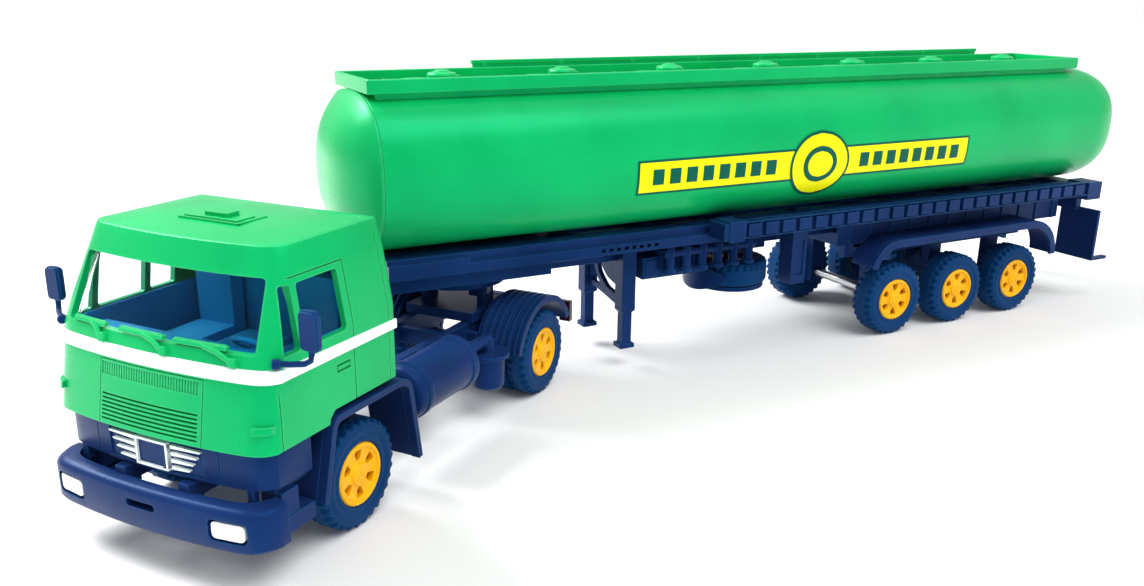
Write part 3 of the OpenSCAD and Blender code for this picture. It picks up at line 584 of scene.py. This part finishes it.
bumper, bumper_cuts = shapes(2)
band(bumper, bumper_line,
     [(4.6, 0.35), (4.75, 0.12), (5.0, 0), (8.5, 0), (8.8, 0.12), (9.05, 0.38), (9.2, 0.7)], 1.7)
prism_x(bumper_cuts, rectangle(-1.9, 7.05, 1.9, 7.85, 0.38), 14, 18)
for side in (-1, 1):
    prism_x(bumper_cuts, [(side * y, z) for y, z in rectangle(8.45, 5.7, 12.75, 8.0, 0.7)], 15.75, 18)
piece("bumper", bumper, TRACTOR, "tractor", "chassis_plastic", ["front_bumper"], 0.07, [bumper_cuts])
stays = shapes()
for side in (-1, 1):
    side_block(stays, side, (13.1, 10.9, 8.6), (13.9, 11.7, 10.5))
piece("bumper_stays", stays, TRACTOR, "tractor", "chassis_plastic", (), 0.06)
lenses = shapes()
for side in (-1, 1):
    outline = [(side * y, z) for y, z in rectangle(8.75, 5.95, 12.45, 7.75, 0.55)]
    pillow(lenses, outline, lambda y, z, lift: (bumper_x(y, lift - 0.12), y, z), 0.35, 0.1)
piece("headlamp_faces", lenses, TRACTOR, "tractor", "lens_white", ["headlamp_lenses"], 0.03)

# ---- Front fenders: a thin arch with a lip, and a flap behind the wheel ----
FENDER_PATH = rounded([(7.2, 6.2), (5.25, 14.1), (4.35, 14.95), (-7.4, 14.95), (-8.8, 14.0), (-10.45, 4.2)],
                      1.1, closed=False)


def ribbon(bm, path, thickness, y0, y1):
    """A strip of sheet along a path in X and Z; a negative thickness lies to the left of the path."""
    prism_y(bm, path + list(reversed(shifted(path, thickness))), y0, y1)


for side, name in ((1, "left"), (-1, "right")):
    bm = shapes()
    ribbon(bm, FENDER_PATH, -0.65, side * 8.2, side * 13.55)
    ribbon(bm, FENDER_PATH, -0.75, side * 13.5, side * 14.7)
    piece(f"front_arch_{name}", bm, TRACTOR, "tractor", "chassis_plastic", [f"front_fender_{name}"], 0.09)


# ---- Rear mudguards: ribbed arcs ----
def arc_sweep(bm, profile, centre, start, end, count):
    """A closed profile of (radius, y) swept about a line along Y through centre (x, z)."""
    rings = []
    for a in (math.radians(d) for d in steps(start, end, count)):
        rings.append([(centre[0] + r * math.cos(a), y, centre[1] + r * math.sin(a)) for r, y in profile])
    loft(bm, rings)


guards = shapes()
for side in (-1, 1):
    crest = []
    for k in range(6):
        y = 13.3 - 1.08 * k
        crest += [(8.4, y), (8.4, y - 0.35), (8.0, y - 0.6), (8.0, y - 0.85)]
    profile = [(7.45, 6.8), (7.45, 14.1), (8.4, 14.1), (8.4, 13.75), (8.0, 13.55), *crest, (8.0, 6.8)]
    arc_sweep(guards, [(r, side * y) for r, y in profile], (-WHEELBASE, TYRE_R), 14, 154, 40)
piece("rear_guards", guards, TRACTOR, "tractor", "chassis_plastic", ["rear_mudguards"], 0.05)


# ---- Wheels ----
def along_axle(x, y, side):
    """Puts a turned shape's Z axis along the axle, pointing inwards from an outer face."""
    return Matrix.Translation((x, side * y, TYRE_R)) @ Matrix.Rotation(math.radians(90 * side), 4, "X")


# Lugs round a tyre, and points along each lug's pitch
LUGS, LUG_STEPS = 30, 5


def tyre(bm, place, width, far_lugs=1.0):
    """A tyre with deep shoulder lugs; its outer face is at height 0 and it runs inwards."""
    half = [(HUB_R - 0.05, 0.4), (HUB_R + 0.25, 0.12), (HUB_R + 0.55, 0.1), (HUB_R + 0.75, 0.2), (4.75, 0.03),
            (5.1, 0.0), (5.35, 0.12), (5.7, 0.14), (6.02, 0.3), (TYRE_R, 0.62), (TYRE_R, 1.05), (TYRE_R, 1.3)]
    depths = [0, 0, 0, 0, 0, 0, 0, 0.22, 0.42, 0.5, 0.42, 0]
    profile = half + [(r, width - h) for r, h in reversed(half)]
    groove = depths + [d * far_lugs for d in reversed(depths)]

    def wave(i, j):
        turn = (j + (LUG_STEPS // 2 if i >= len(half) else 0)) % LUG_STEPS
        return groove[i] * (0, 0.0, 0.55, 1.0, 0.55)[turn]

    spin(bm, profile, place, LUGS * LUG_STEPS, True, wave)


def hub(bm, cuts, shade_floors, place, width):
    """A hub disc with its bolts; cuts are its six openings and floors the dark discs of painted shade at the
    bottoms inside them.
    """
    profile = [(0, 0.12), (0.75, 0.12), (0.85, 0.2), (1.15, 0.2), (1.3, 0.42), (1.5, 0.5), (2.85, 0.38),
               (3.0, 0.28), (3.12, 0.1), (3.4, 0.1), (HUB_R, 0.3), (HUB_R, width - 0.4), (2.9, width - 0.4),
               (2.4, width - 0.8), (0, width - 0.8)]
    spin(bm, profile, place, 96)
    for k in range(6):
        at = place @ Matrix.Rotation(math.radians(60 * k + 30), 4, "Z") @ Matrix.Translation((2.15, 0, 0))
        outline = rounded([(-0.6, -0.3), (0.58, -0.68), (0.58, 0.68), (-0.6, 0.3)], 0.4, 4)
        loft(cuts, [[at @ Vector((x, y, h)) for x, y in outline] for h in (-1, 1.3)])
        loft(shade_floors, [[at @ Vector((x, y, h)) for x, y in outline] for h in (1.1, 1.35)])
    for k in range(3):
        at = place @ Matrix.Rotation(math.radians(120 * k + 90), 4, "Z") @ Matrix.Translation((0.48, 0, 0.12))
        spin(bm, [(0, -0.09), (0.1, -0.09), (0.14, -0.02), (0.14, 0.1)], at, 12)


def wheelset(name, place, body, cad, x, width, starts=(0.0,)):
    """Tyres, hubs and drums of one axle; starts lists how far in each tyre of a side begins."""
    rubber, discs, cuts, shade_floors, drums = shapes(5)
    deep = starts[-1] + width
    for side in (-1, 1):
        for start in starts:
            tyre(rubber, along_axle(x, TYRE_FACE - start, side), width)
        hub(discs, cuts, shade_floors, along_axle(x, TYRE_FACE, side), deep)
        spin(drums, [(0.6, deep - 0.75), (2.3, deep - 0.75), (2.45, deep - 0.35), (3.5, deep - 0.3),
                     (3.5, deep - 0.12), (2.6, deep - 0.08), (2.4, deep - 0.02), (0.6, deep - 0.02)],
             along_axle(x, TYRE_FACE, side), 48, True)
    piece(f"{name}_tread", rubber, place, body, "tyre_black", [cad[0]], 0.03)
    piece(f"{name}_discs", discs, place, body, "hub_yellow", [cad[1]], 0.04, [cuts])
    piece(f"{name}_drums", drums, place, body, "chassis_plastic", (), 0.04)
    # Dark orange discs at the bottoms of the hub openings: painted shade in the recesses.
    piece(f"{name}_well_shade", shade_floors, place, body, "hub_yellow", (), 0.02, material="hub_shadow")


wheelset("front_wheels", TRACTOR, "front_wheelset", ("front_tyres", "front_hubs"), 0, 3.6)
wheelset("rear_wheels", TRACTOR, "rear_wheelset", ("rear_tyres", "rear_hubs"), -WHEELBASE, 3.3, (0.0, 3.7))
for i in range(3):
    wheelset(f"trailer_wheels_{i + 1}", TRAILER, f"trailer_wheelset_{i + 1}",
             (f"trailer_tyres_{i + 1}", f"trailer_hubs_{i + 1}"), FIRST_AXLE - AXLE_STEP * i, 4.4)

# The spare wheel lies flat on its cradle
SPARE = Vector((-46.8, 3.4, 10.9))
SPARE_WIDTH = 4.0
spare = shapes()
flat = Matrix.Translation(SPARE + Vector((0, 0, SPARE_WIDTH))) @ Matrix.Rotation(math.pi, 4, "X")
tyre(spare, flat, SPARE_WIDTH, 0.0)
piece("spare_tyre", spare, TRAILER, "trailer", "tyre_black", ["spare_wheel"], 0.03)
spare_disc, spare_cuts, spare_shade_floors = shapes(3)
hub(spare_disc, spare_cuts, spare_shade_floors, flat, SPARE_WIDTH)
piece("spare_disc", spare_disc, TRAILER, "trailer", "chassis_plastic", (), 0.04, [spare_cuts])
spare_shade_floors.free()

# ---- Tank ----
TANK_LOW, TANK_HIGH, TANK_HALF, TANK_POWER = 22.2, 43.5, 12.4, 2.6
TANK_MID, TANK_HALF_Z = (TANK_LOW + TANK_HIGH) / 2, (TANK_HIGH - TANK_LOW) / 2
TANK_FRONT, DOME_START, DOME_DEPTH, DISH_DEPTH = 14.3, -124.0, 12.5, 4.5


def tank_ring(x, share, inset=0.0):
    """A closed ring of the tank's rounded section, drawn smaller by a share or an inset."""
    ring = []
    for i in range(144):
        a = math.radians(2.5 * i)
        c, s = math.cos(a), math.sin(a)
        y = (TANK_HALF - inset) * math.copysign(abs(c) ** (2 / TANK_POWER), c)
        z = (TANK_HALF_Z - inset) * math.copysign(abs(s) ** (2 / TANK_POWER), s)
        ring.append((x, y * share, TANK_MID + z * share))
    return ring


def tank_y(z, lift=0.0):
    """Half width of the tank at a height."""
    share = abs(z - TANK_MID) / TANK_HALF_Z
    return TANK_HALF * (1 - share ** TANK_POWER) ** (1 / TANK_POWER) + lift


barrel, dish = shapes(2)
loft(barrel, [tank_ring(x, 1) for x in (TANK_FRONT, -20, -60, -100, DOME_START)]
     + [tank_ring(DOME_START - DOME_DEPTH * math.sin(a), math.cos(a))
        for a in (math.radians(d) for d in (6, 12, 18, 24, 30, 36, 42, 48, 54, 60, 66, 72, 77, 82, 86, 89))])
piece("tank_body", barrel, TRAILER, "trailer", "green_plastic", ["tank_barrel"], 0.12)
loft(dish, [tank_ring(TANK_FRONT + 0.02, 1, 0.1), tank_ring(TANK_FRONT + 0.02, 1, -0.04),
            tank_ring(TANK_FRONT + 0.3, 1, -0.04), tank_ring(TANK_FRONT + 0.4, 1, 0.12)]
     + [tank_ring(TANK_FRONT + 0.4 + (DISH_DEPTH - 0.4) * (1 - s ** 2.6), s, 0.12)
        for s in (0.985, 0.96, 0.93, 0.89, 0.84, 0.78, 0.71, 0.63, 0.54, 0.45, 0.35, 0.25, 0.14, 0.04)])
piece("tank_dish", dish, TRAILER, "trailer", "green_plastic", ["tank_front_end"], 0.04)


# ---- Printed banner: a plain band and a plain round badge on both sides ----
PRINT_COLUMNS = 6


def print_shape(bm, outline, side, lift, bands=10):
    """A thin print on the tank: an outline in X and Z, cut into level strips that follow the surface."""
    low_z, high_z = min(z for _, z in outline), max(z for _, z in outline)

    def span(z):
        xs = []
        for (x0, z0), (x1, z1) in zip(outline, outline[1:] + outline[:1]):
            if min(z0, z1) <= z <= max(z0, z1) and z0 != z1:
                xs.append(x0 + (x1 - x0) * (z - z0) / (z1 - z0))
        return min(xs), max(xs)

    margin = (high_z - low_z) * 0.002
    rows = []
    for z in steps(low_z + margin, high_z - margin, bands):
        rows.append([bm.verts.new((x, side * tank_y(z, lift), z)) for x in steps(*span(z), PRINT_COLUMNS)])
    for a, b in zip(rows, rows[1:]):
        for j in range(PRINT_COLUMNS):
            bm.faces.new((a[j], a[j + 1], b[j + 1], b[j]))


def disc(cx, cz, rx, rz, count=48):
    return [(cx + rx * math.cos(2 * math.pi * k / count), cz + rz * math.sin(2 * math.pi * k / count))
            for k in range(count)]


BADGE_X, BADGE_Z = -56.7, 30.7
dark_print, bright_print = shapes(2)
for side in (-1, 1):
    print_shape(dark_print, rectangle(-89.9, 28.3, -22.9, 33.4), side, 0.03)
    print_shape(bright_print, rectangle(-89.5, 28.65, -23.3, 33.05), side, 0.06)
    for x in steps(-86.5, -66, 7) + steps(-47, -26.5, 7):
        print_shape(dark_print, rectangle(x - 0.95, 29.7, x + 0.95, 32.0), side, 0.09, 4)
    print_shape(dark_print, disc(BADGE_X, BADGE_Z, 6.0, 5.3), side, 0.12, 30)
    print_shape(bright_print, disc(BADGE_X, BADGE_Z, 5.55, 4.85), side, 0.15, 30)
    print_shape(dark_print, disc(BADGE_X, BADGE_Z, 3.4, 2.9), side, 0.18, 24)
    print_shape(bright_print, disc(BADGE_X, BADGE_Z, 2.5, 2.05), side, 0.21, 20)
piece("banner_dark", dark_print, TRAILER, "trailer", "banner_green", (), 0.001)
piece("banner_bright", bright_print, TRAILER, "trailer", "banner_yellow", (), 0.001)

# ---- Catwalk: a tray with thin walls over a recessed strip, and its far rail ----
WALK_REAR, WALK_FRONT, WALK_HALF, WALK_FLOOR = -122.6, 14.5, 7.4, 44.1
# From one lid, or one rib of the floor, to the next
LID_PITCH = 18.7


def walk_ring(z, inset):
    return [(x, y, z) for x, y in rectangle(WALK_REAR + inset, -WALK_HALF + inset, WALK_FRONT - inset,
                                            WALK_HALF - inset, 0.3)]


walk = shapes()
loft(walk, [walk_ring(z, inset) for z, inset in
            ((43.5, 0.15), (43.62, 0), (45.28, 0), (45.4, 0.1), (45.4, 0.5), (45.3, 0.6),
             (WALK_FLOOR, 0.6))])
block(walk, (WALK_REAR + 2, -6.3, 42.7), (WALK_FRONT - 1.4, 6.3, 43.6))
for k in range(8):
    x = 8.0 - LID_PITCH * k
    block(walk, (x - 0.18, -6.9, 44.0), (x + 0.18, 6.9, 44.3))
piece("walk_tray", walk, TRAILER, "trailer", "green_plastic", ["catwalk"], 0.06)
rail = shapes()
block(rail, (-112, -8.02, 45.86), (-6, -7.38, 46.4))
block(rail, (-111.8, -7.9, 43.6), (-6.2, -7.5, 45.95))
for x in steps(-110.4, -8, 8):
    block(rail, (x - 0.35, -8.0, 43.55), (x + 0.35, -7.35, 46.1))
piece("walk_rail", rail, TRAILER, "trailer", "green_plastic", ["catwalk_rail"], 0.07)

# ---- Catwalk lids: a flat cover and a domed one with its hinge ----
FLAT_COVER = [(0, 0.62), (2.3, 0.56), (2.6, 0.5), (2.85, 0.35), (2.9, 0)]
DOMED_COVER = [(0, 1.7), (0.9, 1.66), (1.1, 1.5), (1.25, 1.42), (1.85, 1.32), (2.05, 1.1), (2.12, 0)]
lids = shapes()
for k in range(7):
    x = 1.6 - LID_PITCH * k
    for dx, profile in ((3.4, FLAT_COVER), (0.0, DOMED_COVER)):
        spin(lids, profile, Matrix.Translation((x + dx, 0, WALK_FLOOR)), 56)
    block(lids, (x - 2.6, -0.45, WALK_FLOOR), (x - 1.9, 0.45, 45.0))
piece("catwalk_lids", lids, TRAILER, "trailer", "green_plastic", ["filler_lids"], 0.05)


# ---- Side trays: open channels with raised pads along the outer face ----
PAD_PITCH = 3.3
for side, name in ((1, "left"), (-1, "right")):
    bm = shapes()
    section = [(10.2, 22.6), (10.2, 20.5), (14.1, 20.5), (14.1, 20.75), (13.65, 20.75), (13.65, 22.9),
               (14.1, 22.9), (14.1, 23.1), (13.1, 23.1), (13.1, 21.1), (10.8, 21.1), (10.8, 22.6)]
    prism_x(bm, [(side * y, z) for y, z in section], -121.8, -41.4)
    for k in range(24):
        x = -43.2 - PAD_PITCH * k
        side_block(bm, side, (x - 1.2, 13.6, 20.9), (x + 1.2, 14.35, 22.75))
        side_block(bm, side, (x + 1.5, 10.4, 20.9), (x + 1.8, 13.5, 21.9))
    side_block(bm, side, (-41.6, 10.2, 20.5), (-37.5, 14.2, 23.1))
    side_block(bm, side, (-41.3, 10.4, 20.2), (-38.4, 14.4, 23.35))
    piece(f"tray_{name}", bm, TRAILER, "trailer", "chassis_plastic", [f"side_tray_{name}"], 0.07)


# ---- Trailer fenders: one thin arch over three wheels ----
ARCH_TOP = 16.9


def arch_bend(x, radius, start, end, count):
    """A bend of the arch that is level at its top, above x."""
    return [(x + radius * math.cos(a), ARCH_TOP - radius + radius * math.sin(a))
            for a in (math.radians(d) for d in steps(start, end, count))]


ARCH_PATH = arch_bend(-74.2, 5.8, 14, 90, 16) + arch_bend(-108.0, 6.8, 90, 180, 20)
for side, name in ((1, "left"), (-1, "right")):
    bm = shapes()
    ribbon(bm, ARCH_PATH, -0.65, side * 9.0, side * 13.6)
    ribbon(bm, ARCH_PATH, -1.35, side * 13.55, side * 14.2)
    for x in (-82, -97):
        side_block(bm, side, (x - 0.5, 7.8, 15), (x + 0.5, 9.1, 16.8))
    piece(f"trailer_arch_{name}", bm, TRAILER, "trailer", "chassis_plastic", [f"trailer_fender_{name}"], 0.09)

# ---- Dark plates behind the wheels, a sheet that stands in for the shade inside the bogie ----
shade_sheets = shapes()
for side in (-1, 1):
    side_block(shade_sheets, side, (-121.5, 8.0, 15.4), (-65.5, 8.5, 20.6))
    for k in range(12):
        x = -68 - 4.7 * k
        side_block(shade_sheets, side, (x - 0.25, 8.4, 15.4), (x + 0.25, 8.75, 20.6))
piece("bogie_shade_sheets", shade_sheets, TRAILER, "trailer", "chassis_plastic", (), 0.06)

# ---- Landing brace, spare wheel cradle and the locker between them ----
BRACE_OUTLINE = [(-4.8, 16.8), (4.8, 16.8), (4.8, 9.4), (3.4, 9.5), (0.4, 10.1), (-3, 10.6), (-4.8, 10.4)]
BEAN_HOLE = [(-2.6, 16.1), (-1.2, 16.1), (-0.7, 14.4), (1.0, 13.2), (4.4, 12.4), (4.4, 10.9), (0.6, 11.6),
             (-1.8, 13.4)]
CORNER_HOLE = [(-4.4, 15.0), (-3.4, 14.4), (-2.3, 12.6), (-0.7, 11.2), (-4.4, 11.5)]
brace, brace_cuts = shapes(2)
prism_x(brace, rounded(BRACE_OUTLINE, 0.6), -25.8, -25.0)
for hole in (BEAN_HOLE, CORNER_HOLE):
    prism_x(brace_cuts, rounded(hole, 0.7), -26.5, -24.5)
piece("landing_strut", brace, TRAILER, "trailer", "chassis_plastic", ["landing_brace"], 0.08, [brace_cuts])

cradle = shapes()
at_spare = Matrix.Translation(SPARE)
spin(cradle, [(4.8, -0.7), (5.8, -0.7), (5.8, 0), (4.8, 0)], at_spare, 48, True)
spin(cradle, [(0.01, -0.7), (2.2, -0.7), (2.2, 0), (0.85, 0), (0.85, 5.9), (0.01, 5.9)], at_spare, 32, True)
for x0, y0, x1, y1 in ((2.0, -0.9, 7.4, 0.9), (-0.9, 2.0, 0.9, 5.0), (-5.0, -0.9, -2.0, 0.9),
                       (-0.9, -5.0, 0.9, -2.0)):
    block(cradle, SPARE + Vector((x0, y0, -0.65)), SPARE + Vector((x1, y1, -0.05)))
# The guard in front of the spare is lower towards both ends
guard = []
for degrees in steps(-50, 50, 24):
    a = math.radians(degrees)
    foot, top = -0.7 + 0.0008 * degrees ** 2, 1.35 + 2.3 * math.cos(1.7 * a) ** 0.5
    guard.append([SPARE + Vector((r * math.cos(a), r * math.sin(a), z))
                  for r, z in ((7.2, foot), (7.5, foot), (7.5, top), (7.2, top))])
loft(cradle, guard)
block(cradle, (-53, 2.4, 15.9), (-40.6, 4.8, 16.8))
piece("spare_cradle", cradle, TRAILER, "trailer", "chassis_plastic", ["spare_carrier"], 0.05)

locker = shapes()
block(locker, (-39.6, -7, 13.9), (-27.6, 7.2, 17.4))
for k in range(4):
    block(locker, (-39.2 + 3 * k, 7, 14.3), (-37 + 3 * k, 7.45, 17))
piece("hose_locker", locker, TRAILER, "trailer", "chassis_plastic", (), 0.2)

# ---- CAD nodes that stay: finishes and small round edges ----
EDGE_WIDTH = {"tractor_frame": 0.12, "trailer_frame": 0.12, "cab_interior": 0.2,
              "fuel_tank": 0.3, "landing_legs": 0.2}
for entry in frame["record"]["subparts"]:
    cad = frame["nodes"][entry["node"]]
    for slot in cad.material_slots:
        slot.material = MATERIALS[entry["material_slot"]]
    if cad.hide_render:
        continue
    cad.modifiers.new("weld", "WELD").merge_threshold = 0.002 * MM
    round_edges(cad, EDGE_WIDTH.get(entry["node"], 0.08))
    cad.modifiers.new("even_shading", "WEIGHTED_NORMAL").keep_sharp = True

# ---- Floor, light and camera ----
floor_mesh = bmesh.new()
loft(floor_mesh, [[(x, -6, 0), (x, 6, 0)] for x in steps(-12, 6, 6)], cap=False, closed=False)
floor_data = bpy.data.meshes.new("floor")
floor_mesh.to_mesh(floor_data)
floor_mesh.free()
floor = bpy.data.objects.new("floor", floor_data)
bpy.context.scene.collection.objects.link(floor)
floor_data.materials.append(moulded("floor_paper", (0.9, 0.9, 0.9), 0.8, mottle=0.005, grain=0.02, edge_highlight=0.0))

world = bpy.data.worlds.new("studio")
bpy.context.scene.world = world
world.use_nodes = True
world.node_tree.nodes["Background"].inputs["Color"].default_value = (1, 1, 1, 1)
world.node_tree.nodes["Background"].inputs["Strength"].default_value = 0.6


def light(kind, name, place, target, energy, **settings):
    data = bpy.data.lights.new(name, kind)
    data.energy = energy
    for key, value in settings.items():
        setattr(data, key, value)
    lamp = bpy.data.objects.new(name, data)
    lamp.location = place
    lamp.rotation_euler = (Vector(target) - Vector(place)).to_track_quat("-Z", "Y").to_euler()
    bpy.context.scene.collection.objects.link(lamp)


light("SUN", "sky_light", (-0.09, 0.22, 0.42), (0, 0, 0), 2.0, angle=math.radians(45))
light("AREA", "front_light", (0.28, -0.3, 0.4), (0.05, 0, 0.03), 4.2,
      shape="RECTANGLE", size=0.3, size_y=0.25)

camera_data = bpy.data.cameras.new("camera")
camera = bpy.data.objects.new("camera", camera_data)
bpy.context.scene.collection.objects.link(camera)
bpy.context.scene.camera = camera
camera_data.sensor_width = 36
camera_data.lens = 31.906
camera_data.clip_start, camera_data.clip_end = 0.005, 50
YAW, PITCH, ROLL = math.radians(-118.5), math.radians(16.9), math.radians(0.81)
forward = Vector((math.cos(YAW) * math.cos(PITCH), math.sin(YAW) * math.cos(PITCH), -math.sin(PITCH)))
level_right = forward.cross(Vector((0, 0, 1))).normalized()
level_up = level_right.cross(forward)
right = level_right * math.cos(ROLL) + level_up * math.sin(ROLL)
up = right.cross(forward)
camera.matrix_world = Matrix.Translation((0.09445, 0.11984, 0.05717)) @ Matrix(
    (right, up, -forward)).transposed().to_4x4()
bpy.context.scene.view_settings.view_transform = "Standard"
